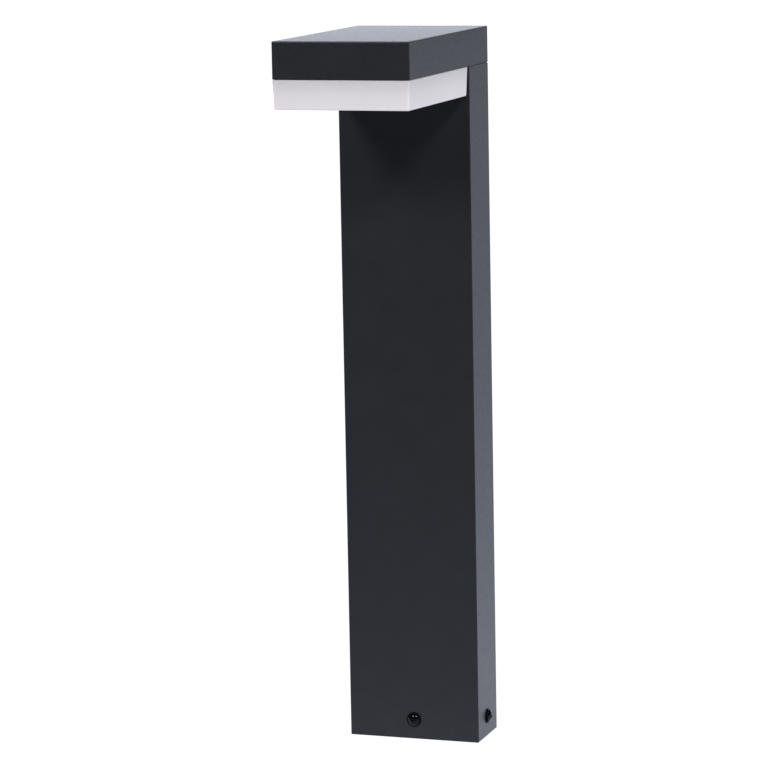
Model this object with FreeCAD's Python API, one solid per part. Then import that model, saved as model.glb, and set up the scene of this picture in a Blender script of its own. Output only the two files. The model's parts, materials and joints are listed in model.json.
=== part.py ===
"""LED bollard light: a flat rectangular post on a bolted foot, with a lamp head that overhangs the front.

Millimetres. The origin is the centre of the foot on the ground, +Z is up, +X is to the right and the head
overhangs towards -Y. Each function makes one sub-part, and build() writes one STEP file for each.
"""

import FreeCAD, Part

import math
import os
from collections import namedtuple

V = FreeCAD.Vector
UP = V(0, 0, 1)
DOWN = V(0, 0, -1)

# ---- driving dimensions ----
HEIGHT = 500.0            # ground to the top of the head
WIDTH = 95.0              # post and head are equally wide
POST_DEPTH = 45.0
HEAD_DEPTH = 175.0        # from the back of the post to the front of the head
HEAD_HEIGHT = 25.0
LENS_DROP = 20.0          # how far the diffuser hangs below the head
PLAY = 0.05               # easy fit between parts that touch all round

# ---- screws: thread radius, head radius, head height and thread pitch ----
Screw = namedtuple("Screw", "r head_r head_h pitch")
FOOT_SCREW = Screw(2.5, 4.25, 2.2, 0.8)
PORT_SCREW = Screw(1.78, 4.0, 3.0, 1.4)
EARTH_SCREW = Screw(1.95, 3.1, 2.4, 0.7)
TRAY_SCREW = Screw(1.62, 3.6, 2.4, 0.7)
COVER_SCREW = Screw(1.62, 3.5, 1.8, 0.7)
M3_SCREW = Screw(1.5, 2.8, 2.0, 0.5)
SMALL_SCREW = Screw(1.28, 2.5, 1.8, 1.1)
TURNING_PLAY = 0.02       # between a thread and the hole that it turns in
M3_TAPPED_R = M3_SCREW.r + TURNING_PLAY

# ---- post: an extruded tube with four screw ports ----
POST_WALL = 2.0
POST_CORNER_R = 1.0
SEAL_T = 0.5              # seal between the post's end and the head
SEAL_INSET = 0.5
PORT_X, PORT_Y = 40.0, 15.5
PORT_R = 3.4
PORT_BORE_R = PORT_SCREW.r + TURNING_PLAY
PORT_SLOT = 1.6
PORT_WEB = 2.4

# ---- head ----
COVER_WALL = 2.0
COVER_TOP = 2.2
COVER_CORNER_R = 1.2
COVER_EDGE_R = 0.8
EDGE_BREAK = 0.2          # small chamfer where two painted parts meet
PLATE_T = 2.5
PLATE_GAP = 0.3
BOSS_R = 4.0
BOSS_X = 38.0
BOSS_Y = (-128.0, -88.0, -48.0)
BOSS_BORE_DEPTH = 10.0
RIB_T, RIB_H = 1.6, 4.0
RIB_X = 19.0

# ---- diffuser ----
LENS_INSET = 0.1          # set in from the head's outline
LENS_BACK_GAP = 2.5       # clear of the post's front face
LENS_DRAFT = 0.8
LENS_WALL = 2.2
LENS_CORNER_R = 1.2
LENS_EDGE_R = 1.0
LENS_TOP_GAP = 0.3
FLANGE_W, FLANGE_T = 5.5, 3.2
GROOVE_W, GROOVE_DEPTH = 2.0, 1.5
GROOVE_INSET = 2.8
PILLAR_R = 4.2
PILLAR_X = 38.2
PILLAR_INSET = 8.8        # screw pillar from the diffuser's front and back faces
PILLAR_SEAT = 6.0         # material between the counterbore and the head
COUNTERBORE_R = 3.3

# ---- LED module ----
PAD_T = 0.5
BOARD_W, BOARD_L, BOARD_T = 68.0, 92.0, 1.6
BOARD_FRONT = -142.0
LED_COLUMNS, LED_ROWS = 5, 6
LED_PITCH_X, LED_PITCH_Y = 13.0, 14.0
LED_L, LED_W, LED_H = 3.5, 2.8, 0.7
LED_RIM = 0.45            # wall round the phosphor
LED_WELL = 0.3            # depth left under the phosphor
SHEET_T = 0.3
CONNECTOR_W, CONNECTOR_L, CONNECTOR_H = 8.0, 7.0, 3.4
BOARD_SCREW_X, BOARD_SCREW_Y = 29.5, (-138.0, -96.0, -54.0)

# ---- foot ----
FOOT_T = 3.0
FOOT_GAP = 0.4            # between the bracket and the post's inner faces
FOOT_TALL = 32.0
NOTCH_X, NOTCH_Y = 35.8, 11.3
SIDE_TAB_HALF, FRONT_TAB_HALF = 10.5, 20.0
BEND_R = 2.0
FOOT_SCREW_Z = 14.0
FOOT_SCREW_HOLE_R = 2.75
NUT_FLATS, NUT_T = 8.0, 3.6
WASHER_R, WASHER_T = 5.25, 0.8
ANCHOR_SPACING = 62.0
ANCHOR_SLOT_W, ANCHOR_SLOT_L = 7.0, 12.0
ENTRY_HOLE_R = 9.0
ENTRY_BORE_R = 6.0
ENTRY_RISE = 2.4          # how far the cable entry's flange stands above the bracket

# ---- gear tray, standing on the foot's back tab ----
TRAY_T = 1.5
TRAY_HALF = 29.0
TRAY_LOW, TRAY_LIP_LOW, TRAY_HIGH = 20.0, 40.0, 212.0
TRAY_LIP = 6.0
TRAY_SCREW_X, TRAY_SCREW_Z = 13.0, 26.0
CLAMP_Z, CLAMP_H = 36.5, 7.0
CLAMP_HALF, CLAMP_SCREW_X = 14.0, 10.5
CLAMP_EAR_T, CLAMP_SHELL = 2.5, 2.4
CORD_R = 4.0              # room for a supply cord under the clamp

# ---- terminal block ----
BLOCK_HALF, BLOCK_D = 16.0, 15.0
BLOCK_LOW, BLOCK_HIGH = 48.0, 66.0
BLOCK_MID_Z = (BLOCK_LOW + BLOCK_HIGH) / 2
POLE_X = (-9.5, 0.0, 9.5)
POLE_SCREW_R, POLE_SCREW_RISE = 1.29, 4.5
BARREL_R, BARREL_BORE_R, BARREL_L = 2.9, 1.45, 14.0
BLOCK_SCREW_X = 4.75
BLOCK_SCREW_SINK = 3.0

# ---- LED driver ----
DRIVER_HALF, DRIVER_D = 19.0, 22.0
DRIVER_LOW, DRIVER_HIGH = 92.0, 197.0
DRIVER_SKIN = 1.6
DRIVER_EAR, DRIVER_EAR_HALF, DRIVER_EAR_T = 7.0, 8.0, 2.0
DRIVER_BOARD_T = 1.6
STANDOFF = 1.5
SOCKET_H = 6.0            # height of the lead sockets on the driver's board

# ---- leads and the earth point ----
LEAD_R = 1.1              # mains leads
LED_LEAD_R = 0.95
LED_LEAD_X = 1.6
LEAD_FROM_TRAY = 7.0
DRIVER_IN_X = (-5.5, 1.5)
POST_GROMMET_R, POST_GROMMET_BORE_R = 7.0, 4.2
LAMP_GROMMET_R, LAMP_GROMMET_BORE_R = 6.5, 4.6
LAMP_HOLE_Y = -40.0
CLIP_Z = (300.0, 420.0)
CLIP_H = 8.0
CLIP_LEAD_Y = 16.8        # where the LED leads run, close to the post's back wall
EARTH_X, EARTH_Z = 23.2, 103.0
RING_T, RING_R = 0.8, 3.3
EARTH_WASHER_T = 0.8
SLEEVE_LOW, SLEEVE_HIGH = 94.0, 98.0
SLEEVE_FROM_TRAY = 2.2

# ---- derived places ----
HEAD_LOW = HEIGHT - HEAD_HEIGHT
POST_TOP = HEAD_LOW - SEAL_T
BACK = POST_DEPTH / 2
HEAD_FRONT = BACK - HEAD_DEPTH
HEAD_MID_Y = (BACK + HEAD_FRONT) / 2
PLATE_TOP = HEAD_LOW + PLATE_T
LENS_TOP = HEAD_LOW - LENS_TOP_GAP
LENS_LOW = HEAD_LOW - LENS_DROP
LENS_FRONT = HEAD_FRONT + LENS_INSET
LENS_BACK = -BACK - LENS_BACK_GAP
LENS_W = WIDTH - 2 * LENS_INSET
LENS_L = LENS_BACK - LENS_FRONT
LENS_MID_Y = (LENS_BACK + LENS_FRONT) / 2
PILLAR_ROWS = (LENS_FRONT + PILLAR_INSET, LENS_BACK - PILLAR_INSET)
BOARD_LOW = HEAD_LOW - PAD_T - BOARD_T
BOARD_BACK = BOARD_FRONT + BOARD_L
BOARD_MID_Y = BOARD_FRONT + BOARD_L / 2
LED_LEAD_Z = BOARD_LOW - CONNECTOR_H / 2
IN_X = WIDTH / 2 - POST_WALL
IN_Y = POST_DEPTH / 2 - POST_WALL
FOOT_X = IN_X - FOOT_GAP
FOOT_Y = IN_Y - FOOT_GAP
TRAY_BACK = FOOT_Y - FOOT_T
TRAY_FACE = TRAY_BACK - TRAY_T
LEAD_Y = TRAY_FACE - LEAD_FROM_TRAY
BLOCK_FRONT = TRAY_FACE - BLOCK_D
DRIVER_FRONT = TRAY_FACE - DRIVER_D
DRIVER_MID_Y = TRAY_FACE - DRIVER_D / 2
DRIVER_BOARD_FACE = TRAY_FACE - DRIVER_SKIN - STANDOFF - DRIVER_BOARD_T
DRIVER_SCREW_Z = (DRIVER_LOW - DRIVER_EAR / 2, DRIVER_HIGH + DRIVER_EAR / 2)
SOCKET_LOW = DRIVER_LOW + DRIVER_SKIN + 0.6
SOCKET_HIGH = DRIVER_HIGH - DRIVER_SKIN - 0.6
SLEEVE_Y = TRAY_FACE - SLEEVE_FROM_TRAY
SIGNS = (-1, 1)
CORNERS = [(sx, sy) for sx in SIGNS for sy in SIGNS]
BACKWARD, FORWARD = V(0, 1, 0), V(0, -1, 0)


# ---- shape helpers ----
def box(x0, x1, y0, y1, z0, z1):
    """A box between two corners."""
    return Part.makeBox(x1 - x0, y1 - y0, z1 - z0, V(x0, y0, z0))


def rod(x, y, z0, z1, r):
    """An upright cylinder."""
    return Part.makeCylinder(r, z1 - z0, V(x, y, z0))


def cone(x, y, z0, z1, r0, r1):
    """An upright cone frustum."""
    return Part.makeCone(r0, r1, z1 - z0, V(x, y, z0))


def rounded_outline(w, d, r, z, cy=0.0):
    """A closed wire: a w by d rectangle with corner radius r, centred on x = 0 and y = cy."""
    hx, hy = w / 2, d / 2
    k = r * (1 - math.sqrt(0.5))
    ends, mids = [], []
    for sx, sy in ((1, -1), (1, 1), (-1, 1), (-1, -1)):
        along_x = V(sx * (hx - r), cy + sy * hy, z)
        along_y = V(sx * hx, cy + sy * (hy - r), z)
        ends.append((along_x, along_y) if sx * sy < 0 else (along_y, along_x))
        mids.append(V(sx * (hx - k), cy + sy * (hy - k), z))
    edges = []
    for i, ((start, end), mid) in enumerate(zip(ends, mids)):
        edges.append(Part.Arc(start, mid, end).toShape())
        edges.append(Part.LineSegment(end, ends[(i + 1) % 4][0]).toShape())
    return Part.Wire(edges)


def rounded_block(w, d, r, z0, z1, cy=0.0):
    """A prism over a rounded rectangle."""
    return Part.Face(rounded_outline(w, d, r, z0, cy)).extrude(V(0, 0, z1 - z0))


def fused(shapes):
    """One solid from overlapping shapes, with no seams left."""
    return shapes[0].multiFuse(shapes[1:]).removeSplitter()


def outline_edges(shape, z, w, d, cy=0.0):
    """The edges of a w by d outline that lie flat at height z."""
    found = []
    for edge in shape.Edges:
        b = edge.BoundBox
        flat = abs(b.ZMin - z) < 1e-4 and abs(b.ZMax - z) < 1e-4
        far_x = max(abs(b.XMin), abs(b.XMax)) > w / 2 - 1e-3
        far_y = max(abs(b.YMin - cy), abs(b.YMax - cy)) > d / 2 - 1e-3
        if flat and (far_x or far_y):
            found.append(edge)
    return found


def hexagon(across_flats, z0, z1):
    """A six-sided prism on the Z axis."""
    r = across_flats / math.sqrt(3)
    turns = [math.radians(60 * i) for i in range(7)]
    corners = [V(r * math.cos(a), r * math.sin(a), z0) for a in turns]
    return Part.Face(Part.makePolygon(corners)).extrude(V(0, 0, z1 - z0))


def cross_recess(reach, width, depth, top):
    """A cross for a screwdriver, cut down from height top."""
    arms = [
        box(-reach, reach, -width / 2, width / 2, top - depth, top + 1),
        box(-width / 2, width / 2, -reach, reach, top - depth, top + 1),
    ]
    return arms + [cone(0, 0, top - 1.5 * depth, top, 0.2, width)]


def threaded_shank(r, length, pitch, core=0.86):
    """A shank below z = 0 with its thread drawn as rings, and a short plain tip."""
    points = [V(0, 0, 0), V(r * core, 0, 0)]
    turns = int((length - pitch) / pitch)
    for i in range(turns):
        points.append(V(r, 0, -pitch * (i + 0.5)))
        points.append(V(r * core, 0, -pitch * (i + 1)))
    points += [V(r * core * 0.7, 0, -length), V(0, 0, -length), V(0, 0, 0)]
    return Part.Face(Part.makePolygon(points)).revolve(V(), UP, 360)


def placed(shape, spot, direction=UP):
    """A copy of a shape drawn on +Z, with its Z axis turned to a direction and moved to a spot."""
    turned = shape.copy()
    turned.Placement = FreeCAD.Placement(spot, FreeCAD.Rotation(UP, direction))
    return turned


def copies(shape, spots, direction=UP):
    """A group of separate solids, one at each spot."""
    return Part.makeCompound([placed(shape, spot, direction) for spot in spots])


def pan_screw(screw, length):
    """A cross-headed pan screw: the head sits on z = 0 and the shank points down."""
    wide, tall = screw.head_r, screw.head_h
    head = rod(0, 0, 0, tall, wide)
    head = head.makeFillet(tall * 0.6, outline_edges(head, tall, 2 * wide, 2 * wide))
    head = head.cut(cross_recess(wide * 0.55, wide * 0.22, tall * 0.55, tall))
    return fused([head, threaded_shank(screw.r, length, screw.pitch)])


def button_screw(screw, length):
    """A cross-headed screw with a low domed head on z = 0 and the shank pointing down."""
    rise = 0.75 * screw.head_h
    dome_r = (screw.head_r ** 2 + rise ** 2) / (2 * rise)
    dome = Part.makeSphere(dome_r, V(0, 0, screw.head_h - dome_r))
    head = rod(0, 0, 0, screw.head_h, screw.head_r).common(dome)
    head = head.cut(cross_recess(screw.head_r * 0.55, screw.head_r * 0.22, screw.head_h * 0.7, screw.head_h))
    return fused([head, threaded_shank(screw.r, length, screw.pitch)])


def flat_screw(screw, length):
    """A cross-headed countersunk screw: its flat top is at z = 0."""
    wide, tall = screw.head_r, screw.head_h
    whole = fused([cone(0, 0, -tall, 0, screw.r * 0.9, wide), threaded_shank(screw.r, length, screw.pitch)])
    return whole.cut(cross_recess(wide * 0.5, wide * 0.2, tall * 0.5, 0))


def swept_lead(points, r, tightest):
    """A round lead along straight runs joined by tangent arcs, no tighter than stated."""
    runs = [(b - a).Length for a, b in zip(points, points[1:])]
    edges, start = [], points[0]
    for i in range(1, len(points) - 1):
        before = (points[i] - points[i - 1]).normalize()
        after = (points[i + 1] - points[i]).normalize()
        half_turn = before.getAngle(after) / 2
        trim = 0.45 * min(runs[i - 1], runs[i])
        radius = trim / math.tan(half_turn)
        assert radius >= tightest, f"bend {i} of a lead has a radius of {radius:.1f}"
        inward = (after - before).normalize()
        middle = points[i] + inward * (radius / math.cos(half_turn) - radius)
        arc_in, arc_out = points[i] - before * trim, points[i] + after * trim
        edges.append(Part.LineSegment(start, arc_in).toShape())
        edges.append(Part.Arc(arc_in, middle, arc_out).toShape())
        start = arc_out
    edges.append(Part.LineSegment(start, points[-1]).toShape())
    path = Part.Wire(edges)
    circle = Part.Circle(points[0], points[1] - points[0], r).toShape()
    tube = path.makePipeShell([Part.Wire([circle])], True, False)
    expected = math.pi * r * r * path.Length
    assert abs(tube.Volume / expected - 1) < 0.02, "a lead's volume is not section times length"
    return tube


# ---- post ----
def post():
    tube = rounded_block(WIDTH, POST_DEPTH, POST_CORNER_R, 0, POST_TOP)
    for z in (0, POST_TOP):
        tube = tube.makeChamfer(EDGE_BREAK, outline_edges(tube, z, WIDTH, POST_DEPTH))
    tube = tube.cut(rounded_block(2 * IN_X, 2 * IN_Y, POST_CORNER_R, -1, POST_TOP + 1))
    solids, bores = [tube], []
    for sx, sy in CORNERS:
        x, y = sx * PORT_X, sy * PORT_Y
        wall_y = sorted((y, sy * (IN_Y + 0.5)))
        mouth_x = sorted((x, x - sx * 2 * PORT_R))
        solids.append(rod(x, y, 0, POST_TOP, PORT_R))
        solids.append(box(x - PORT_WEB / 2, x + PORT_WEB / 2, *wall_y, 0, POST_TOP))
        bores.append(rod(x, y, -1, POST_TOP + 1, PORT_BORE_R))
        bores.append(box(*mouth_x, y - PORT_SLOT / 2, y + PORT_SLOT / 2, -1, POST_TOP + 1))
    for spot, out in foot_screw_places():
        bores.append(Part.makeCylinder(FOOT_SCREW_HOLE_R, 12, spot - out * 8, out))
    return fused(solids).cut(bores)


def post_top_seal():
    w, d = WIDTH - 2 * SEAL_INSET, POST_DEPTH - 2 * SEAL_INSET
    outer = rounded_block(w, d, POST_CORNER_R, POST_TOP, HEAD_LOW)
    return outer.cut(rounded_block(2 * IN_X - 1.2, 2 * IN_Y - 1.2, 0.8, POST_TOP - 1, HEAD_LOW + 1))


# ---- head ----
def head_cover():
    ceiling = HEIGHT - COVER_TOP
    in_w, in_d = WIDTH - 2 * COVER_WALL, HEAD_DEPTH - 2 * COVER_WALL
    body = rounded_block(WIDTH, HEAD_DEPTH, COVER_CORNER_R, HEAD_LOW, HEIGHT, HEAD_MID_Y)
    body = body.makeFillet(COVER_EDGE_R, outline_edges(body, HEIGHT, WIDTH, HEAD_DEPTH, HEAD_MID_Y))
    body = body.makeChamfer(EDGE_BREAK, outline_edges(body, HEAD_LOW, WIDTH, HEAD_DEPTH, HEAD_MID_Y))
    body = body.cut(rounded_block(in_w, in_d, COVER_CORNER_R, HEAD_LOW - 1, ceiling, HEAD_MID_Y))
    inside, bores = [body], []
    for sx in SIGNS:
        rib = (sx * RIB_X - RIB_T / 2, sx * RIB_X + RIB_T / 2)
        inside.append(box(*rib, HEAD_FRONT + 1, BACK - 1, ceiling - RIB_H, ceiling + 0.5))
        for y in BOSS_Y:
            x = sx * BOSS_X
            wall_x = sorted((x, sx * (in_w / 2 + 0.5)))
            inside.append(rod(x, y, PLATE_TOP, ceiling + 0.5, BOSS_R))
            inside.append(box(*wall_x, y - RIB_T / 2, y + RIB_T / 2, PLATE_TOP + 6, ceiling + 0.5))
            bores.append(rod(x, y, PLATE_TOP - 1, PLATE_TOP + BOSS_BORE_DEPTH, COVER_SCREW.r + TURNING_PLAY))
    for y in BOSS_Y:
        inside.append(box(-BOSS_X, BOSS_X, y - RIB_T / 2, y + RIB_T / 2, ceiling - RIB_H, ceiling + 0.5))
    return fused(inside).cut(bores)


def head_plate():
    w = WIDTH - 2 * COVER_WALL - 2 * PLATE_GAP
    d = HEAD_DEPTH - 2 * COVER_WALL - 2 * PLATE_GAP
    low, high = HEAD_LOW - 1, PLATE_TOP + 1
    plate = rounded_block(w, d, 1.5, HEAD_LOW, PLATE_TOP, HEAD_MID_Y)
    tools = [rod(0, 0, low, high, POST_GROMMET_R), rod(0, LAMP_HOLE_Y, low, high, LAMP_GROMMET_R)]
    tools += [rod(sx * PORT_X, sy * PORT_Y, low, high, 2.2) for sx, sy in CORNERS]
    for sx in SIGNS:
        for y in BOSS_Y:
            tools.append(rod(sx * BOSS_X, y, low, high, 2.15))
            tools.append(cone(sx * BOSS_X, y, HEAD_LOW - 0.2, HEAD_LOW + 1.9, 3.8, 2.0))
        tools += [rod(sx * BOARD_SCREW_X, y, low, high, M3_TAPPED_R) for y in BOARD_SCREW_Y]
        tools += [rod(sx * PILLAR_X, y, low, high, M3_TAPPED_R) for y in PILLAR_ROWS]
    return plate.cut(tools)


def post_port_screws():
    screw = pan_screw(PORT_SCREW, 22)
    return copies(screw, [V(sx * PORT_X, sy * PORT_Y, PLATE_TOP) for sx, sy in CORNERS])


def cover_screws():
    screw = flat_screw(COVER_SCREW, 10)
    return copies(screw, [V(sx * BOSS_X, y, HEAD_LOW) for sx in SIGNS for y in BOSS_Y], DOWN)


def plate_grommet(hole_r, bore_r, y):
    """A rubber ring with a groove that grips the edge of a hole in the head plate."""
    ring = fused([
        rod(0, y, HEAD_LOW - 1.5, PLATE_TOP + 1.5, hole_r - PLAY),
        rod(0, y, PLATE_TOP, PLATE_TOP + 1.5, hole_r + 1.6),
        rod(0, y, HEAD_LOW - 1.5, HEAD_LOW, hole_r + 1.6),
    ])
    return ring.cut(rod(0, y, HEAD_LOW - 3, PLATE_TOP + 3, bore_r))


def post_grommet():
    return plate_grommet(POST_GROMMET_R, POST_GROMMET_BORE_R, 0)


def lamp_grommet():
    return plate_grommet(LAMP_GROMMET_R, LAMP_GROMMET_BORE_R, LAMP_HOLE_Y)


# ---- diffuser ----
def drafted_block(inset, z0, z1, corner_r):
    """The diffuser's drafted outline, moved inwards by inset, between two heights."""
    wires = []
    for z in (z0, z1):
        shrink = inset + LENS_DRAFT * (LENS_TOP - z) / (LENS_TOP - LENS_LOW)
        w, d = LENS_W - 2 * shrink, LENS_L - 2 * shrink
        wires.append(rounded_outline(w, d, corner_r, z, LENS_MID_Y))
    return Part.makeLoft(wires, True, True)


def gasket_loop(z0, z1, play=0.0):
    """The rectangular loop of the gasket, or of its groove when there is no play."""
    w, d = LENS_W - 2 * GROOVE_INSET + GROOVE_W, LENS_L - 2 * GROOVE_INSET + GROOVE_W
    inner_w, inner_d = w - 2 * GROOVE_W + 2 * play, d - 2 * GROOVE_W + 2 * play
    outer = rounded_block(w - 2 * play, d - 2 * play, 2.6, z0, z1, LENS_MID_Y)
    return outer.cut(rounded_block(inner_w, inner_d, 0.8, z0 - 1, z1 + 1, LENS_MID_Y))


def diffuser():
    floor, ledge = LENS_LOW + LENS_WALL, LENS_TOP - FLANGE_T
    outer = drafted_block(0, LENS_LOW, LENS_TOP, LENS_CORNER_R)
    w, d = LENS_W - 2 * LENS_DRAFT, LENS_L - 2 * LENS_DRAFT
    outer = outer.makeFillet(LENS_EDGE_R, outline_edges(outer, LENS_LOW, w, d, LENS_MID_Y))
    chamber = drafted_block(LENS_WALL, floor, ledge, 1.5)
    mouth_w, mouth_d = LENS_W - 2 * FLANGE_W, LENS_L - 2 * FLANGE_W
    mouth = rounded_block(mouth_w, mouth_d, 1.5, ledge - 1, LENS_TOP + 1, LENS_MID_Y)
    spots = [(sx * PILLAR_X, y) for sx in SIGNS for y in PILLAR_ROWS]
    pillars = [rod(x, y, floor - 0.5, LENS_TOP, PILLAR_R) for x, y in spots]
    tray = fused([outer.cut([chamber, mouth])] + pillars)
    tools = [gasket_loop(LENS_TOP - GROOVE_DEPTH, LENS_TOP + 1)]
    tools += [rod(x, y, LENS_LOW - 1, LENS_TOP + 1, 1.7) for x, y in spots]
    tools += [rod(x, y, LENS_LOW - 1, LENS_TOP - PILLAR_SEAT, COUNTERBORE_R) for x, y in spots]
    return tray.cut(tools)


def diffuser_gasket():
    return gasket_loop(LENS_TOP - GROOVE_DEPTH, HEAD_LOW, PLAY)


def diffuser_screws():
    screw = pan_screw(M3_SCREW, 9.0)
    seat = LENS_TOP - PILLAR_SEAT
    return copies(screw, [V(sx * PILLAR_X, y, seat) for sx in SIGNS for y in PILLAR_ROWS], DOWN)


# ---- LED module ----
def led_spots():
    """The centres of the LEDs, in a grid under the board."""
    first_x = -LED_PITCH_X * (LED_COLUMNS - 1) / 2
    first_y = BOARD_MID_Y - LED_PITCH_Y * (LED_ROWS - 1) / 2 - 2.0
    columns = [first_x + LED_PITCH_X * i for i in range(LED_COLUMNS)]
    rows = [first_y + LED_PITCH_Y * j for j in range(LED_ROWS)]
    return [V(x, y, BOARD_LOW) for y in rows for x in columns]


def board_layer(margin, z0, z1, hole_r):
    """A flat layer of the LED module, with its screw holes."""
    layer = rounded_block(BOARD_W - 2 * margin, BOARD_L - 2 * margin, 1.5, z0, z1, BOARD_MID_Y)
    spots = [(sx * BOARD_SCREW_X, y) for sx in SIGNS for y in BOARD_SCREW_Y]
    return layer.cut([rod(x, y, z0 - 1, z1 + 1, hole_r) for x, y in spots])


def thermal_pad():
    return board_layer(0.5, HEAD_LOW - PAD_T, HEAD_LOW, 2.0)


def led_board():
    return board_layer(0, BOARD_LOW, HEAD_LOW - PAD_T, 1.65)


def reflector_sheet():
    low, high = BOARD_LOW - 1, BOARD_LOW + 1
    half_l, half_w = LED_L / 2 + 0.45, LED_W / 2 + 0.45
    tools = [box(s.x - half_l, s.x + half_l, s.y - half_w, s.y + half_w, low, high) for s in led_spots()]
    half = CONNECTOR_W / 2 + 0.4
    tools.append(box(-half, half, BOARD_BACK - CONNECTOR_L - 1.5, BOARD_BACK + 1, low, high))
    return board_layer(0.3, BOARD_LOW - SHEET_T, BOARD_LOW, 3.2).cut(tools)


def led_well(z0, z1):
    """The recess of one LED, which its phosphor fills."""
    half_l, half_w = LED_L / 2 - LED_RIM, LED_W / 2 - LED_RIM
    return box(-half_l, half_l, -half_w, half_w, z0, z1)


def led_packages():
    body = box(-LED_L / 2, LED_L / 2, -LED_W / 2, LED_W / 2, -LED_H, 0)
    return copies(body.cut(led_well(-LED_H - 1, -LED_WELL)), led_spots())


def led_phosphor():
    return copies(led_well(-LED_H + 0.02, -LED_WELL), led_spots())


def led_connector():
    back, low = BOARD_BACK - 1, BOARD_LOW - CONNECTOR_H
    body = box(-CONNECTOR_W / 2, CONNECTOR_W / 2, back - CONNECTOR_L, back, low, BOARD_LOW)
    tools = []
    for sx in SIGNS:
        x = sx * LED_LEAD_X
        tools.append(Part.makeCylinder(LED_LEAD_R + PLAY, 4, V(x, back - 3, LED_LEAD_Z), BACKWARD))
        tools.append(box(x - 0.6, x + 0.6, back - 6, back - 4.2, low - 1, low + 0.8))
    return body.cut(tools)


def led_board_screws():
    spots = [V(sx * BOARD_SCREW_X, y, BOARD_LOW) for sx in SIGNS for y in BOARD_SCREW_Y]
    return copies(pan_screw(M3_SCREW, 4.5), spots, DOWN)


# ---- foot ----
def foot_screw_places():
    """Where each foot screw crosses the post's outer face, and the way it points out."""
    z = FOOT_SCREW_Z
    front, back = (V(0, -BACK, z), FORWARD), (V(0, BACK, z), BACKWARD)
    left, right = (V(-WIDTH / 2, 0, z), V(-1, 0, 0)), (V(WIDTH / 2, 0, z), V(1, 0, 0))
    return [front, back, left, right]


def at_foot_screws(shape, outward, facing):
    """One shape at each foot screw: moved outward from the post's face, facing out (1) or in (-1)."""
    places = foot_screw_places()
    return Part.makeCompound([placed(shape, spot + out * outward, out * facing) for spot, out in places])


def trough(half_width, reach, low, high, bend_r):
    """A block along X whose cross-section has its two lower corners rounded."""
    k = bend_r * (1 - math.sqrt(0.5))
    x = -half_width
    left_up, left, left_foot = V(x, -reach, high), V(x, -reach, low + bend_r), V(x, -reach + bend_r, low)
    right_foot, right, right_up = V(x, reach - bend_r, low), V(x, reach, low + bend_r), V(x, reach, high)
    edges = [
        Part.LineSegment(left_up, left).toShape(),
        Part.Arc(left, V(x, -reach + k, low + k), left_foot).toShape(),
        Part.LineSegment(left_foot, right_foot).toShape(),
        Part.Arc(right_foot, V(x, reach - k, low + k), right).toShape(),
        Part.LineSegment(right, right_up).toShape(),
        Part.LineSegment(right_up, left_up).toShape(),
    ]
    return Part.Face(Part.Wire(edges)).extrude(V(2 * half_width, 0, 0))


def bent_strip(half_width, reach):
    """A strip of sheet with a tab bent up at y = -reach and at y = reach."""
    outer = trough(half_width, reach, 0, FOOT_TALL, BEND_R + FOOT_T)
    inner = trough(half_width + 1, reach - FOOT_T, FOOT_T, FOOT_TALL + 1, BEND_R)
    return outer.cut(inner)


def foot_bracket():
    front_and_back = bent_strip(FRONT_TAB_HALF, FOOT_Y)
    sides = bent_strip(SIDE_TAB_HALF, FOOT_X)
    sides.rotate(V(), UP, 90)
    bend = BEND_R + FOOT_T
    plate = fused([
        box(-NOTCH_X, NOTCH_X, -FOOT_Y + bend, FOOT_Y - bend, 0, FOOT_T),
        box(-FOOT_X + bend, FOOT_X - bend, -NOTCH_Y, NOTCH_Y, 0, FOOT_T),
    ])
    upright = [e for e in plate.Edges if abs(e.BoundBox.ZLength - FOOT_T) < 1e-6]
    plate = plate.makeFillet(1.0, upright)
    tools = [rod(0, 0, -1, FOOT_T + 1, ENTRY_HOLE_R)]
    r, half = ANCHOR_SLOT_W / 2, (ANCHOR_SLOT_L - ANCHOR_SLOT_W) / 2
    for sx in SIGNS:
        x = sx * ANCHOR_SPACING / 2
        tools += [rod(x + end * half, 0, -1, FOOT_T + 1, r) for end in SIGNS]
        tools.append(box(x - half, x + half, -r, r, -1, FOOT_T + 1))
        tools.append(across(sx * TRAY_SCREW_X, TRAY_SCREW_Z, TRAY_SCREW.r + TURNING_PLAY, TRAY_BACK - 2, 8))
    for spot, out in foot_screw_places():
        tools.append(Part.makeCylinder(FOOT_SCREW_HOLE_R, 14, spot, out * -1))
    return fused([plate, front_and_back, sides]).cut(tools)


def foot_weld_nuts():
    nut = hexagon(NUT_FLATS, 0, NUT_T).cut(rod(0, 0, -1, 5, FOOT_SCREW.r + TURNING_PLAY))
    return at_foot_screws(nut, -(POST_WALL + FOOT_GAP + FOOT_T), -1)


def foot_screws():
    return at_foot_screws(button_screw(FOOT_SCREW, 10.0), WASHER_T, 1)


def foot_washers():
    washer = rod(0, 0, 0, WASHER_T, WASHER_R).cut(rod(0, 0, -1, 2, FOOT_SCREW.r + 0.2))
    return at_foot_screws(washer, 0, 1)


def cable_entry_grommet():
    top = FOOT_T + ENTRY_RISE
    flange_r = ENTRY_HOLE_R + 1.8
    ring = fused([rod(0, 0, 0, top, ENTRY_HOLE_R - PLAY), rod(0, 0, FOOT_T, top, flange_r)])
    ring = ring.makeFillet(0.8, outline_edges(ring, top, 2 * flange_r, 2 * flange_r))
    return ring.cut(rod(0, 0, -1, top + 1, ENTRY_BORE_R))


# ---- gear tray and what it carries ----
def across(x, z, r, y=TRAY_FACE - 1, depth=4.0):
    """A round tool along Y, by default through the gear tray."""
    return Part.makeCylinder(r, depth, V(x, y, z), BACKWARD)


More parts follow.
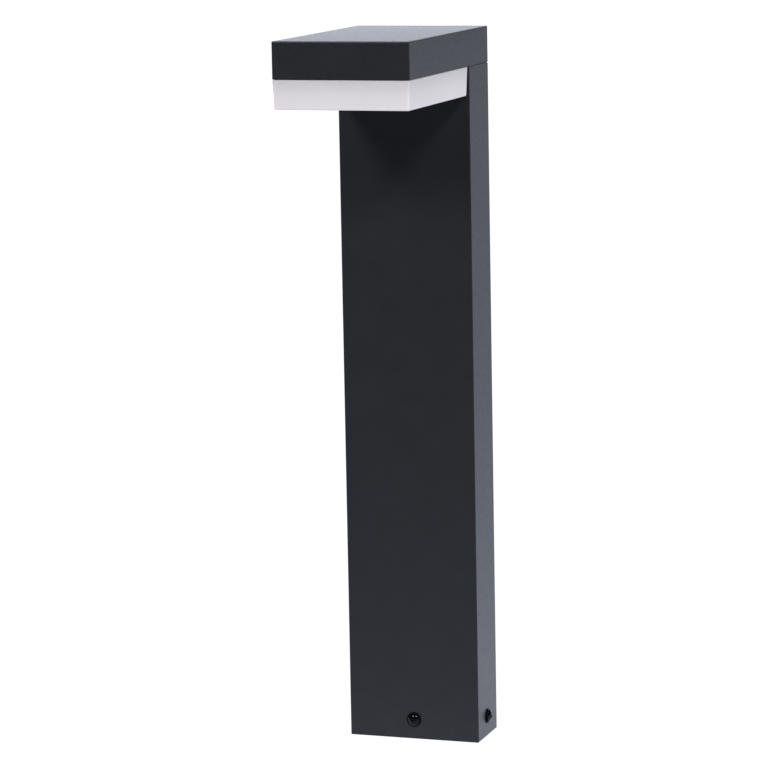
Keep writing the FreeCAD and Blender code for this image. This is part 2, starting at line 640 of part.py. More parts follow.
def on_tray(screw, spots, lift=0.0):
    """Screws driven in from the front at (x, z) spots, their heads lifted off the tray's face."""
    return copies(screw, [V(x, TRAY_FACE - lift, z) for x, z in spots], FORWARD)


def mirrored(x, z):
    """The (x, z) spot and its mirror image in the middle plane."""
    return [(-x, z), (x, z)]


def gear_tray():
    parts = [box(-TRAY_HALF, TRAY_HALF, TRAY_FACE, TRAY_BACK, TRAY_LOW, TRAY_HIGH)]
    for sx in SIGNS:
        lip_x = sorted((sx * TRAY_HALF, sx * (TRAY_HALF - TRAY_T)))
        parts.append(box(*lip_x, TRAY_FACE - TRAY_LIP, TRAY_BACK, TRAY_LIP_LOW, TRAY_HIGH))
    holes = [across(x, z, 2.0) for x, z in mirrored(TRAY_SCREW_X, TRAY_SCREW_Z)]
    small = mirrored(CLAMP_SCREW_X, CLAMP_Z) + mirrored(BLOCK_SCREW_X, BLOCK_MID_Z)
    small += [(0, z) for z in DRIVER_SCREW_Z]
    holes += [across(x, z, SMALL_SCREW.r + TURNING_PLAY) for x, z in small]
    holes.append(across(EARTH_X, EARTH_Z, EARTH_SCREW.r + TURNING_PLAY))
    return fused(parts).cut(holes)


def gear_tray_screws():
    return on_tray(pan_screw(TRAY_SCREW, 4.3), mirrored(TRAY_SCREW_X, TRAY_SCREW_Z))


def cord_clamp():
    low, high = CLAMP_Z - CLAMP_H / 2, CLAMP_Z + CLAMP_H / 2
    middle = TRAY_FACE - CORD_R
    ears = box(-CLAMP_HALF, CLAMP_HALF, TRAY_FACE - CLAMP_EAR_T, TRAY_FACE, low, high)
    arch = rod(0, middle, low, high, CORD_R + CLAMP_SHELL)
    behind = box(-CLAMP_HALF, CLAMP_HALF, TRAY_FACE, TRAY_FACE + CORD_R, low - 1, high + 1)
    saddle = fused([ears, arch]).cut(behind)
    tools = [rod(0, middle, low - 1, high + 1, CORD_R)]
    tools.append(box(-CORD_R, CORD_R, middle, TRAY_FACE + 1, low - 1, high + 1))
    spots = mirrored(CLAMP_SCREW_X, CLAMP_Z)
    tools += [across(x, z, SMALL_SCREW.r + 0.2, TRAY_FACE - 5, 6) for x, z in spots]
    return saddle.cut(tools)


def cord_clamp_screws():
    return on_tray(pan_screw(SMALL_SCREW, 6.0), mirrored(CLAMP_SCREW_X, CLAMP_Z), CLAMP_EAR_T)


def terminal_block():
    body = box(-BLOCK_HALF, BLOCK_HALF, BLOCK_FRONT, TRAY_FACE, BLOCK_LOW, BLOCK_HIGH)
    body = body.makeFillet(0.6, [e for e in body.Edges if e.BoundBox.YMax < BLOCK_FRONT + 1e-6])
    tools = []
    for x in POLE_X:
        tools.append(rod(x, LEAD_Y, BLOCK_LOW - 1, BLOCK_HIGH + 1, 1.7))
        tools.append(rod(x, LEAD_Y, *barrel_span(PLAY), BARREL_R + PLAY))
        for z in pole_screw_heights():
            tools.append(across(x, z, 2.1, BLOCK_FRONT - 1, LEAD_Y - BLOCK_FRONT))
    for x in (-BLOCK_SCREW_X, BLOCK_SCREW_X):
        tools.append(across(x, BLOCK_MID_Z, 1.45, BLOCK_FRONT - 1, BLOCK_D + 2))
        tools.append(across(x, BLOCK_MID_Z, 2.6, BLOCK_FRONT - 1, 1 + BLOCK_SCREW_SINK))
    between = [(a + b) / 2 for a, b in zip(POLE_X, POLE_X[1:])]
    for x in between:
        for z0, z1 in ((BLOCK_LOW - 1, BLOCK_LOW + 3), (BLOCK_HIGH - 3, BLOCK_HIGH + 1)):
            tools.append(box(x - 0.6, x + 0.6, BLOCK_FRONT - 1, TRAY_FACE - 2, z0, z1))
    return body.cut(tools)


def barrel_span(play=0.0):
    """The lowest and highest Z of the terminal barrels."""
    return BLOCK_MID_Z - BARREL_L / 2 - play, BLOCK_MID_Z + BARREL_L / 2 + play


def pole_screw_heights():
    """The two heights at which each pole has a clamping screw."""
    return BLOCK_MID_Z - POLE_SCREW_RISE, BLOCK_MID_Z + POLE_SCREW_RISE


def terminal_barrels():
    barrels = []
    for x in POLE_X:
        tools = [rod(x, LEAD_Y, BLOCK_LOW, BLOCK_HIGH, BARREL_BORE_R)]
        for z in pole_screw_heights():
            tools.append(across(x, z, POLE_SCREW_R + TURNING_PLAY, LEAD_Y - BARREL_R - 1, BARREL_R + 1))
        barrels.append(rod(x, LEAD_Y, *barrel_span(), BARREL_R).cut(tools))
    return Part.makeCompound(barrels)


def terminal_screws():
    reach = BARREL_R - LEAD_R + 0.95
    head = rod(0, 0, 0, 2.0, 1.9).cut(box(-3, 3, -0.3, 0.3, 1.1, 3))
    screw = fused([head, threaded_shank(POLE_SCREW_R, reach, 0.5)])
    seat = LEAD_Y - LEAD_R - PLAY - reach
    return copies(screw, [V(x, seat, z) for x in POLE_X for z in pole_screw_heights()], FORWARD)


def terminal_block_screws():
    spots = mirrored(BLOCK_SCREW_X, BLOCK_MID_Z)
    return on_tray(pan_screw(SMALL_SCREW, 14.0), spots, BLOCK_D - BLOCK_SCREW_SINK)


# ---- LED driver ----
def driver_case():
    body = rounded_block(2 * DRIVER_HALF, DRIVER_D, 2.0, DRIVER_LOW, DRIVER_HIGH, DRIVER_MID_Y)
    ear_low, ear_high = DRIVER_LOW - DRIVER_EAR, DRIVER_HIGH + DRIVER_EAR
    ears = box(-DRIVER_EAR_HALF, DRIVER_EAR_HALF, TRAY_FACE - DRIVER_EAR_T, TRAY_FACE, ear_low, ear_high)
    inner = DRIVER_HALF - DRIVER_SKIN
    low, high = DRIVER_LOW + DRIVER_SKIN, DRIVER_HIGH - DRIVER_SKIN
    tools = [box(-inner, inner, DRIVER_FRONT - 1, TRAY_FACE - DRIVER_SKIN, low, high)]
    tools += [across(0, z, SMALL_SCREW.r + 0.3, TRAY_FACE - 4, 6) for z in DRIVER_SCREW_Z]
    tools += [rod(x, LEAD_Y, DRIVER_LOW - 1, low + 1, LEAD_R + 0.15) for x in DRIVER_IN_X]
    tools += [rod(sx * LED_LEAD_X, LEAD_Y, high - 1, DRIVER_HIGH + 1, LED_LEAD_R + 0.1) for sx in SIGNS]
    shell = fused([body, ears]).cut(tools)
    posts = []
    for sx in SIGNS:
        for z in (low + 12, high - 12):
            posts.append(across(sx * (inner - 3), z, 1.8, TRAY_FACE - DRIVER_SKIN - STANDOFF, STANDOFF + 0.5))
    return fused([shell] + posts)


def driver_lid():
    half = DRIVER_HALF - DRIVER_SKIN - 0.1
    low, high = DRIVER_LOW + DRIVER_SKIN + 0.1, DRIVER_HIGH - DRIVER_SKIN - 0.1
    lid = box(-half, half, DRIVER_FRONT, DRIVER_FRONT + 1.5, low, high)
    grooves = [box(-12, 12, DRIVER_FRONT - 1, DRIVER_FRONT + 0.5, z, z + 1.2) for z in (low + 8, high - 9.2)]
    return lid.cut(grooves)


def driver_board():
    half = DRIVER_HALF - DRIVER_SKIN - 0.4
    low, high = DRIVER_LOW + DRIVER_SKIN + 0.4, DRIVER_HIGH - DRIVER_SKIN - 0.4
    return box(-half, half, DRIVER_BOARD_FACE, DRIVER_BOARD_FACE + DRIVER_BOARD_T, low, high)


def driver_components():
    """The sockets, coil, capacitors and heat sink that stand on the driver's board."""
    face = DRIVER_BOARD_FACE
    tall = face - DRIVER_FRONT - 3.0
    socket_front = LEAD_Y - LEAD_R - 1.4
    coil_low, fuse_low = DRIVER_LOW + 42, DRIVER_LOW + 20
    parts = [
        box(-9, 9, socket_front, face, SOCKET_LOW, SOCKET_LOW + SOCKET_H),
        box(-6, 6, socket_front, face, SOCKET_HIGH - SOCKET_H, SOCKET_HIGH),
        box(-8, 8, face - tall, face, coil_low, coil_low + 20),
        box(9, 15, face - 9, face, fuse_low, fuse_low + 12),
        box(-15, -12, face - 10, face, coil_low, coil_low + 24),
    ]
    for x, above, r in ((-8, 25, 5.0), (1, 74, 4.0), (11, 74, 4.0)):
        parts.append(Part.makeCylinder(r, tall - 1, V(x, face, DRIVER_LOW + above), FORWARD))
    return Part.makeCompound(parts)


def driver_screws():
    return on_tray(pan_screw(SMALL_SCREW, 5.0), [(0, z) for z in DRIVER_SCREW_Z], DRIVER_EAR_T)


# ---- leads and the earth point ----
def led_lead(side):
    """One lead from the driver up the post, through the head and down to the LED board."""
    connector_back = BOARD_BACK - 1
    route = [
        (LEAD_Y, SOCKET_HIGH), (LEAD_Y, 225), (CLIP_LEAD_Y, 262), (CLIP_LEAD_Y, 436), (0, 462),
        (0, 481), (-8.5, 490.5), (LAMP_HOLE_Y + 8.5, 490.5), (LAMP_HOLE_Y, 483),
        (LAMP_HOLE_Y, 476.3), (LAMP_HOLE_Y - 4.8, LED_LEAD_Z), (connector_back - 2.5, LED_LEAD_Z),
    ]
    return swept_lead([V(side * LED_LEAD_X, y, z) for y, z in route], LED_LEAD_R, 6 * LED_LEAD_R)


def mains_lead(driver_x, pole_x):
    """One lead from the driver's board down into a pole of the terminal block."""
    route = [(driver_x, SOCKET_LOW), (driver_x, 85), (pole_x, 74), (pole_x, BLOCK_MID_Z + 2)]
    return swept_lead([V(x, LEAD_Y, z) for x, z in route], LEAD_R, 6 * LEAD_R)


def earth_lead():
    x, bottom = POLE_X[2], BLOCK_MID_Z + 2
    start = [V(x, LEAD_Y, bottom), V(x, LEAD_Y, 74)]
    end = [V(EARTH_X, SLEEVE_Y, 86), V(EARTH_X, SLEEVE_Y, SLEEVE_LOW + 1)]
    return swept_lead(start + end, LEAD_R, 6 * LEAD_R)


def earth_ring_terminal():
    ring = across(EARTH_X, EARTH_Z, RING_R, TRAY_FACE - RING_T, RING_T)
    tongue = box(EARTH_X - 1.5, EARTH_X + 1.5, TRAY_FACE - RING_T, TRAY_FACE, SLEEVE_LOW + 1, EARTH_Z)
    sleeve = rod(EARTH_X, SLEEVE_Y, SLEEVE_LOW, SLEEVE_HIGH, SLEEVE_FROM_TRAY - 0.2)
    tools = [across(EARTH_X, EARTH_Z, EARTH_SCREW.r + 0.1, TRAY_FACE - 4, 6)]
    tools.append(rod(EARTH_X, SLEEVE_Y, SLEEVE_LOW - 1, SLEEVE_LOW + 2, LEAD_R + PLAY))
    return fused([ring, tongue, sleeve]).cut(tools)


def earth_washer():
    washer = rod(0, 0, 0, EARTH_WASHER_T, 3.2).cut(rod(0, 0, -1, 2, EARTH_SCREW.r + 0.15))
    return on_tray(washer, [(EARTH_X, EARTH_Z)], RING_T)


def earth_screw():
    return on_tray(pan_screw(EARTH_SCREW, 5.5), [(EARTH_X, EARTH_Z)], RING_T + EARTH_WASHER_T)


def lead_clips():
    clips = []
    half_slot = LED_LEAD_X + LED_LEAD_R + 0.2
    slot_front, slot_back = CLIP_LEAD_Y - LED_LEAD_R - 0.2, CLIP_LEAD_Y + LED_LEAD_R + 0.2
    for z in CLIP_Z:
        low, high = z - CLIP_H / 2, z + CLIP_H / 2
        pad = box(-7.5, 7.5, IN_Y - 1.3, IN_Y, low - 1.5, high + 1.5)
        bridge = box(-half_slot - 1.4, half_slot + 1.4, slot_front - 1.4, IN_Y, low, high)
        slot = box(-half_slot, half_slot, slot_front, slot_back, low - 1, high + 1)
        clips.append(fused([pad, bridge]).cut(slot))
    return Part.makeCompound(clips)


def build():
    """Make every sub-part, and write one file for each."""
    makers = [
        post, post_top_seal, post_port_screws, post_grommet, lead_clips,
        head_cover, head_plate, cover_screws, lamp_grommet,
        diffuser, diffuser_gasket, diffuser_screws,
        thermal_pad, led_board, reflector_sheet, led_packages, led_phosphor, led_connector, led_board_screws,
        foot_bracket, foot_weld_nuts, foot_screws, foot_washers, cable_entry_grommet,
        gear_tray, gear_tray_screws, cord_clamp, cord_clamp_screws,
        terminal_block, terminal_barrels, terminal_screws, terminal_block_screws,
        driver_case, driver_lid, driver_board, driver_components, driver_screws,
        earth_lead, earth_ring_terminal, earth_washer, earth_screw,
    ]
    shapes = {maker.__name__: maker() for maker in makers}
    shapes["led_lead_positive"] = led_lead(-1)
    shapes["led_lead_negative"] = led_lead(1)
    shapes["driver_live_lead"] = mains_lead(DRIVER_IN_X[0], POLE_X[0])
    shapes["driver_neutral_lead"] = mains_lead(DRIVER_IN_X[1], POLE_X[1])
    os.makedirs("parts", exist_ok=True)
    for name, shape in shapes.items():
        assert shape.isValid(), f"{name} is not a valid shape"
        shape.exportStep(os.path.join("parts", name + ".step"))
        print(f"{name:22s} {len(shape.Solids):3d} solids {shape.Volume:12.1f} mm3")


build()
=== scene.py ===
import bpy
import json
import math
from mathutils import Matrix, Vector


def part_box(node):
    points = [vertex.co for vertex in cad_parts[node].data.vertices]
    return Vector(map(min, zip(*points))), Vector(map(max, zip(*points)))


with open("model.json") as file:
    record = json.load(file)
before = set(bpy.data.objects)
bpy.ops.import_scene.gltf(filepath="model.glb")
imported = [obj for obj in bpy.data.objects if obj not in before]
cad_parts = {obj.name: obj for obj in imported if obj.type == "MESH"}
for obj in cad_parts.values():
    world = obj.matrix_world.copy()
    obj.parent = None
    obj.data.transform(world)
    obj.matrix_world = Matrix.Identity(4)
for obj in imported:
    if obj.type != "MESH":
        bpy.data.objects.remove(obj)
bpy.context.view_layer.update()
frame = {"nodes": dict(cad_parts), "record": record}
record = frame["record"]
nodes = frame["nodes"]
scene = bpy.context.scene

# ---------------------------------------------------------------- node helpers

MICRON = 0.000001
NOISE_LOW, NOISE_HIGH = 0.3, 0.7    # nearly all of a noise texture's values lie between these


class Graph:
    """Builds one material's node tree with short calls. Places are object coordinates in metres."""

    def __init__(self, name):
        self.material = bpy.data.materials.new(name)
        self.material.use_nodes = True
        self.tree = self.material.node_tree
        self.shader = self.tree.nodes["Principled BSDF"]
        self.place = self.node("ShaderNodeTexCoord").outputs["Object"]

    def node(self, kind, **settings):
        made = self.tree.nodes.new(kind)
        for key, value in settings.items():
            setattr(made, key, value)
        return made

    def feed(self, socket, value):
        """Links a node's output to a socket, or sets a plain value on it."""
        if isinstance(value, bpy.types.NodeSocket):
            self.tree.links.new(value, socket)
        elif isinstance(value, (tuple, list)) and len(value) == 3 and len(socket.default_value) == 4:
            socket.default_value = (*value, 1.0)
        else:
            socket.default_value = value

    def set(self, **values):
        """Sets the shader's own sockets; underscores in a name stand for spaces."""
        for key, value in values.items():
            self.feed(self.shader.inputs[key.replace("_", " ")], value)

    def scaled(self, scale):
        """The place stretched by a scale on each axis, as for brush marks."""
        mapping = self.node("ShaderNodeMapping")
        self.feed(mapping.inputs["Vector"], self.place)
        self.feed(mapping.inputs["Scale"], scale)
        return mapping.outputs["Vector"]

    def noise(self, scale, detail=2.0, roughness=0.5, at=None):
        """Soft noise, with scale in waves per metre."""
        made = self.node("ShaderNodeTexNoise")
        self.feed(made.inputs["Vector"], at or self.place)
        self.feed(made.inputs["Scale"], scale)
        self.feed(made.inputs["Detail"], detail)
        self.feed(made.inputs["Roughness"], roughness)
        return made.outputs["Fac"]

    def cell_edges(self, scale):
        """Distance to the nearest edge of a network of cells."""
        made = self.node("ShaderNodeTexVoronoi", feature="DISTANCE_TO_EDGE")
        self.feed(made.inputs["Vector"], self.place)
        self.feed(made.inputs["Scale"], scale)
        return made.outputs["Distance"]

    def ranged(self, value, low, high, to_low, to_high):
        """Maps value from low-high to to_low-to_high, held at both ends."""
        made = self.node("ShaderNodeMapRange")
        inputs = {"Value": value, "From Min": low, "From Max": high, "To Min": to_low, "To Max": to_high}
        for name, given in inputs.items():
            self.feed(made.inputs[name], given)
        return made.outputs["Result"]

    def wander(self, low, high, scale, detail=3.0, roughness=0.6):
        """A value that wanders between low and high over the surface."""
        return self.ranged(self.noise(scale, detail, roughness), NOISE_LOW, NOISE_HIGH, low, high)

    def curve(self, value, stops):
        """A value that follows (position, height) stops, held at both ends."""
        first, last = stops[0][0], stops[-1][0]
        top = max(height for _, height in stops)
        made = self.node("ShaderNodeValToRGB")
        self.feed(made.inputs[0], self.ranged(value, first, last, 0.0, 1.0))
        points = made.color_ramp.elements
        while len(points) < len(stops):
            points.new(0.5)
        for point, (position, height) in zip(points, stops):
            point.position = (position - first) / (last - first)
            point.color = (height / top, height / top, height / top, 1.0)
        return self.maths("MULTIPLY", made.outputs["Color"], top)

    def blended(self, factor, first, second):
        """A colour between first and second."""
        made = self.node("ShaderNodeMix", data_type="RGBA")
        self.feed(made.inputs[0], factor)
        self.feed(made.inputs[6], first)
        self.feed(made.inputs[7], second)
        return made.outputs[2]

    def maths(self, operation, *values):
        made = self.node("ShaderNodeMath", operation=operation)
        for socket, value in zip(made.inputs, values):
            self.feed(socket, value)
        return made.outputs[0]

    def axis(self, name):
        made = self.node("ShaderNodeSeparateXYZ")
        self.feed(made.inputs[0], self.place)
        return made.outputs[name]

    def bump(self, height, depth_m, strength=1.0):
        """A bump whose full height is depth_m."""
        made = self.node("ShaderNodeBump")
        self.feed(made.inputs["Height"], height)
        self.feed(made.inputs["Distance"], depth_m)
        self.feed(made.inputs["Strength"], strength)
        self.feed(self.shader.inputs["Normal"], made.outputs["Normal"])


def shade(colour, factor):
    return tuple(min(1.0, c * factor) for c in colour)


def white_to_camera(tree, shader, camera_shader, output):
    """Lets the camera see one shader where every other ray meets another, so the stage looks plain."""
    rays = tree.nodes.new("ShaderNodeLightPath")
    either = tree.nodes.new("ShaderNodeMixShader")
    tree.links.new(rays.outputs["Is Camera Ray"], either.inputs[0])
    tree.links.new(shader.outputs[0], either.inputs[1])
    tree.links.new(camera_shader.outputs[0], either.inputs[2])
    tree.links.new(either.outputs[0], output.inputs["Surface"])


# ------------------------------------------------------------------- materials

COAT = (0.0147, 0.0147, 0.0160)     # anthracite paint
COAT_GLOSS = (0.90, 0.95, 1.0)      # tint of its reflections
DUST = (0.24, 0.22, 0.20)
DUST_COVER, DUST_HEIGHT_M = 0.025, 0.045
OPAL = (0.748, 0.688, 0.663)
OPAL_PAINTED_TOP_SHADE = 0.78               # painted shade: the diffuser's colour is darkened up where the head shades it
OPAL_SCATTER_M = (0.0055, 0.0052, 0.0050)
# painted shade towards the head: share of the way up from the diffuser's underside to the head, and the
# share of its own colour left there
LENS_PAINTED_SHADE = ((0.0, 1.0), (0.25, 0.94), (0.5, 0.75), (0.75, 0.34), (1.0, 0.0))
EARTH_YELLOW = (0.75, 0.60, 0.04)


def powder_coat(name, colour):
    """Fine-textured polyester powder coat: orange peel, faint mottling, a dusty foot."""
    g = Graph(name)
    tone = g.blended(g.wander(0.0, 1.0, 55.0, 3.0, 0.55), shade(colour, 0.94), shade(colour, 1.07))
    flakes = g.ranged(g.noise(1900.0, 2.0, 0.6), 0.62, 0.78, 0.0, 0.55)
    tone = g.blended(flakes, tone, shade(colour, 1.8))
    near_ground = g.ranged(g.axis("Z"), 0.0, DUST_HEIGHT_M, 1.0, 0.0)
    patches = g.ranged(g.noise(160.0, 4.0, 0.65), 0.4, 0.75, 0.0, DUST_COVER)
    g.set(Base_Color=g.blended(g.maths("MULTIPLY", near_ground, patches), tone, DUST))
    g.set(Roughness=g.wander(0.29, 0.36, 320.0), IOR=1.35, Specular_Tint=COAT_GLOSS)
    fine_peel = g.maths("MULTIPLY", g.noise(3200.0, 1.0, 0.5), 0.35)
    g.bump(g.maths("ADD", g.noise(900.0), fine_peel), 12 * MICRON)
    return g.material


def opal(name, colour):
    """Opal moulded cover: light scatters inside, so the surface is soft and even; its colour is darkened
    towards the head as painted shade.
    """
    g = Graph(name)
    underside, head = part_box("diffuser")[0][2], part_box("head_cover")[0][2]
    rise = g.ranged(g.axis("Z"), underside, head, 0.0, 1.0)
    cloud = g.wander(-0.05, 0.05, 26.0, 2.0, 0.5)
    # painted shade: the colour turns to the darkened one up near the head, plus a little random cloud
    tone = g.maths("ADD", g.curve(rise, LENS_PAINTED_SHADE), cloud)
    g.set(Base_Color=g.blended(tone, shade(colour, OPAL_PAINTED_TOP_SHADE), colour))
    g.set(Roughness=g.wander(0.42, 0.50, 240.0), IOR=1.45)
    g.set(Subsurface_Weight=0.4, Subsurface_Radius=OPAL_SCATTER_M, Subsurface_Scale=1.0)
    g.bump(g.noise(420.0), 12 * MICRON)
    return g.material


def metal(name, colour, rough, grain=(1.0, 1.0, 1.0)):
    """Rolled or turned metal; grain stretches the marks along an axis."""
    g = Graph(name)
    marks = g.noise(1400.0, 3.0, 0.6, at=g.scaled(grain))
    stain = g.ranged(g.noise(70.0, 3.0, 0.6), 0.35, 0.7, 0.0, 1.0)
    g.set(Base_Color=g.blended(stain, shade(colour, 0.90), shade(colour, 1.05)), Metallic=1.0)
    g.set(Roughness=g.ranged(marks, NOISE_LOW, NOISE_HIGH, rough - 0.03, rough + 0.10))
    g.bump(marks, 8 * MICRON, 0.5)
    return g.material


def plastic(name, colour, rough, grain, depth):
    """Moulded plastic with a fine spark-eroded grain."""
    g = Graph(name)
    cloud = g.wander(0.0, 1.0, 90.0, 3.0, 0.55)
    g.set(Base_Color=g.blended(cloud, shade(colour, 0.95), shade(colour, 1.05)))
    g.set(Roughness=g.wander(rough - 0.05, rough + 0.06, 500.0), IOR=1.5)
    g.bump(g.noise(grain), depth)
    return g.material


def rubber(name, colour):
    """Matt rubber with a faint grey bloom."""
    g = Graph(name)
    bloom = g.ranged(g.noise(140.0, 4.0, 0.65), 0.4, 0.75, 0.0, 0.5)
    g.set(Base_Color=g.blended(bloom, colour, shade(colour, 1.9)))
    g.set(Roughness=g.wander(0.62, 0.78, 600.0), IOR=1.5)
    g.bump(g.noise(1100.0, 3.0, 0.6), 20 * MICRON)
    return g.material


def black_steel(name, colour, rough, ior):
    """Black-oxide steel: oily black with a soft sheen, worn on the high grain."""
    g = Graph(name)
    wear = g.ranged(g.noise(2200.0, 4.0, 0.7), 0.60, 0.80, 0.0, 0.5)
    g.set(Base_Color=g.blended(wear, colour, shade(colour, 1.8)))
    g.set(Roughness=g.wander(rough - 0.05, rough + 0.06, 1300.0), IOR=ior)
    g.bump(g.noise(2600.0), 6 * MICRON)
    return g.material


def circuit_board(name, colour):
    """Solder mask with fine copper tracks showing as slightly lighter lines."""
    g = Graph(name)
    track = g.ranged(g.cell_edges(260.0), 0.02, 0.05, 1.0, 0.0)
    g.set(Base_Color=g.blended(track, colour, shade(colour, 1.5)))
    g.set(Roughness=g.wander(0.30, 0.40, 800.0, 2.0, 0.5), IOR=1.5)
    g.bump(track, 30 * MICRON, 0.5)
    return g.material


def striped_lead(name, colour, stripe):
    """Earth insulation: two colours that wind round the lead."""
    g = Graph(name)
    wave = g.node("ShaderNodeTexWave", wave_type="BANDS", bands_direction="DIAGONAL")
    g.feed(wave.inputs["Vector"], g.place)
    g.feed(wave.inputs["Scale"], 55.0)
    band = g.ranged(wave.outputs["Fac"], 0.48, 0.52, 0.0, 1.0)
    g.set(Base_Color=g.blended(band, colour, stripe))
    g.set(Roughness=g.wander(0.32, 0.42, 700.0, 2.0, 0.5), IOR=1.5)
    g.bump(g.noise(1500.0), 10 * MICRON)
    return g.material


base = {m["slot"]: tuple(m["base_color"]) for m in record["materials"]}
screw_black = shade(base["black_screw"], 0.15)
washer_black = shade(base["black_washer"], 0.15)
finishes = {
    "anthracite_coat": powder_coat("powder_coat_anthracite", COAT),
    "opal_white": opal("opal_diffuser", OPAL),
    "black_screw": black_steel("black_oxide_steel", screw_black, rough=0.09, ior=1.27),
    "black_washer": black_steel("black_oxide_washer", washer_black, rough=0.30, ior=1.16),
    "mill_aluminium": metal("aluminium_sheet", base["mill_aluminium"], 0.36, grain=(1.0, 0.04, 1.0)),
    "brass": metal("brass", base["brass"], 0.32, grain=(1.0, 0.05, 1.0)),
    "zinc_steel": metal("zinc_plated_steel", base["zinc_steel"], 0.32),
    "black_rubber": rubber("black_rubber", base["black_rubber"]),
    "thermal_grey": rubber("thermal_pad_grey", base["thermal_grey"]),
    "board_green": circuit_board("circuit_board_green", base["board_green"]),
    "lead_green_yellow": striped_lead("lead_green_yellow", base["lead_green_yellow"], EARTH_YELLOW),
}
# slot, material's name, roughness, waves of the grain per metre and its depth
PLASTICS = (
    ("board_white", "white_solder_mask", 0.36, 2200.0, 6 * MICRON),
    ("reflector_white", "reflector_sheet_white", 0.34, 900.0, 8 * MICRON),
    ("phosphor_yellow", "led_phosphor", 0.36, 4000.0, 20 * MICRON),
    ("led_white", "led_package_white", 0.36, 1500.0, 12 * MICRON),
    ("terminal_white", "terminal_block_white", 0.44, 1500.0, 12 * MICRON),
    ("clamp_grey", "cord_clamp_grey", 0.48, 1500.0, 12 * MICRON),
    ("driver_white", "driver_case_white", 0.46, 1500.0, 12 * MICRON),
    ("component_black", "component_black", 0.40, 1500.0, 12 * MICRON),
    ("lead_red", "lead_red", 0.36, 1500.0, 12 * MICRON),
    ("lead_black", "lead_black", 0.36, 1500.0, 12 * MICRON),
    ("lead_brown", "lead_brown", 0.36, 1500.0, 12 * MICRON),
    ("lead_blue", "lead_blue", 0.36, 1500.0, 12 * MICRON),
)
for slot, name, rough, grain, depth in PLASTICS:
    finishes[slot] = plastic(name, base[slot], rough, grain, depth)

slot_of = {part["node"]: part["material_slot"] for part in record["subparts"]}
for name, node in nodes.items():
    if not node.material_slots:
        node.data.materials.append(finishes[slot_of[name]])
    for held in node.material_slots:
        held.material = finishes[slot_of[name]]

# ----------------------------------------------------------------- the camera

EYE = Vector((0.75066, -2.28639, 0.63747))
YAW, PITCH, ROLL = 0.327247, 0.159261, -0.018562    # radians to the left, down and anticlockwise
SENSOR_MM, FOCAL_MM = 36.0, 162.7214

forward = Vector((-math.sin(YAW) * math.cos(PITCH), math.cos(YAW) * math.cos(PITCH), -math.sin(PITCH)))
level = Vector((math.cos(YAW), math.sin(YAW), 0.0))
upright = level.cross(forward)
right = math.cos(ROLL) * level + math.sin(ROLL) * upright
up = math.cos(ROLL) * upright - math.sin(ROLL) * level
turn = Matrix((right, up, -forward)).transposed().to_4x4()
lens = bpy.data.cameras.new("camera")
lens.sensor_width = SENSOR_MM
lens.lens = FOCAL_MM
lens.clip_start, lens.clip_end = 0.05, 60.0
camera = bpy.data.objects.new("camera", lens)
camera.matrix_world = Matrix.Translation(EYE) @ turn
scene.collection.objects.link(camera)
scene.camera = camera

# ------------------------------------------------------------- floor and world

FLOOR_REACH_M = 12.0
FLOOR_DROP_M = 0.0004       # just under the foot, so that the two faces don't flicker
FLOOR_GREY = (0.10, 0.10, 0.10)
FLOOR_LIGHT = (0.91, 0.97, 1.13)
# Strength of the floor's light by place along Y: bright beside and behind the object, darker in front.
FLOOR_GLOW = ((-5.0, 0.0), (-3.4, 0.10), (-1.9, 0.28), (-1.2, 0.34), (-0.8, 0.43), (-0.40, 0.69),
              (-0.10, 0.86), (0.08, 1.10), (0.7, 0.86), (1.6, 0.68), (3.6, 0.66), (6.0, 0.80))
FLOOR_WHITE, WORLD_WHITE = 1.05, 1.1    # what the camera sees of each
WORLD_TINT, WORLD_LIGHT = (0.93, 0.96, 1.0, 1.0), 0.04

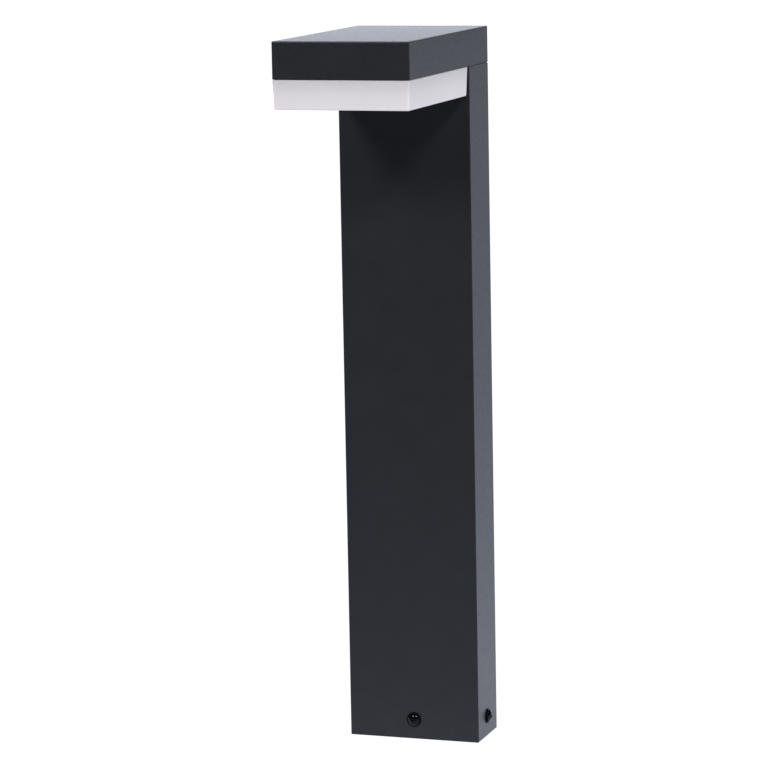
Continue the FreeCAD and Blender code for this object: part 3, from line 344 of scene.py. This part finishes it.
floor_mesh = bpy.data.meshes.new("floor")
corners = [(sx * FLOOR_REACH_M, sy * FLOOR_REACH_M, 0) for sx, sy in ((-1, -1), (1, -1), (1, 1), (-1, 1))]
floor_mesh.from_pydata(corners, [], [(0, 1, 2, 3)])
floor = bpy.data.objects.new("floor", floor_mesh)
floor.location.z = -FLOOR_DROP_M
scene.collection.objects.link(floor)
g = Graph("pale_floor")
g.set(Base_Color=FLOOR_GREY, Roughness=0.9, Specular_IOR_Level=0.0)
g.set(Emission_Color=FLOOR_LIGHT, Emission_Strength=g.curve(g.axis("Y"), FLOOR_GLOW))
white = g.node("ShaderNodeEmission")
g.feed(white.inputs["Strength"], FLOOR_WHITE)
white_to_camera(g.tree, g.shader, white, g.tree.nodes["Material Output"])
floor.data.materials.append(g.material)

world = bpy.data.worlds.new("studio")
scene.world = world
world.use_nodes = True
sky = world.node_tree
background = sky.nodes["Background"]
background.inputs["Color"].default_value = WORLD_TINT
background.inputs["Strength"].default_value = WORLD_LIGHT
white = sky.nodes.new("ShaderNodeBackground")
white.inputs["Color"].default_value = (1.0, 1.0, 1.0, 1.0)
white.inputs["Strength"].default_value = WORLD_WHITE
white_to_camera(sky, background, white, sky.nodes["World Output"])

# ------------------------------------------------------------------ soft lamps

AIM = Vector((0.0, -0.05, 0.25))
LAMP_TINT = (0.94, 0.97, 1.06)
BACK_TINT = (0.92, 0.96, 1.10)
# name, azimuth and elevation in degrees, distance and side in metres, power in watts, tint;
# azimuth 0 is in front (-Y) and 90 is to the right (+X)
SOFTBOXES = (
    ("key_right", 29, 32.5, 2.4, 0.32, 24.2, LAMP_TINT),
    ("key_left", -19, 32, 2.4, 0.45, 26.6, LAMP_TINT),
    ("fill_right", 100, 30, 2.4, 0.9, 24.0, LAMP_TINT),
    ("overhead", -40, 76, 2.4, 0.9, 5.0, LAMP_TINT),
    ("rim_edge", 170, 22, 2.4, 0.9, 2.6, LAMP_TINT),
    ("rim_back", -160, 20.5, 0.9, 0.35, 0.75, BACK_TINT),
)


def softbox(name, azimuth, elevation, distance, side, power, tint):
    """A square soft lamp aimed at the object and hidden from the camera."""
    data = bpy.data.lights.new(name, "AREA")
    data.shape = "SQUARE"
    data.size = side
    data.energy, data.color = power, tint
    a, e = math.radians(azimuth), math.radians(elevation)
    back = Vector((math.sin(a) * math.cos(e), -math.cos(a) * math.cos(e), math.sin(e)))
    lamp = bpy.data.objects.new(name, data)
    lamp.visible_camera = False
    lamp.location = AIM + back * distance
    lamp.rotation_mode = "QUATERNION"
    lamp.rotation_quaternion = back.to_track_quat("Z", "Y")
    scene.collection.objects.link(lamp)


for row in SOFTBOXES:
    softbox(*row)
scene.view_settings.view_transform = "Standard"
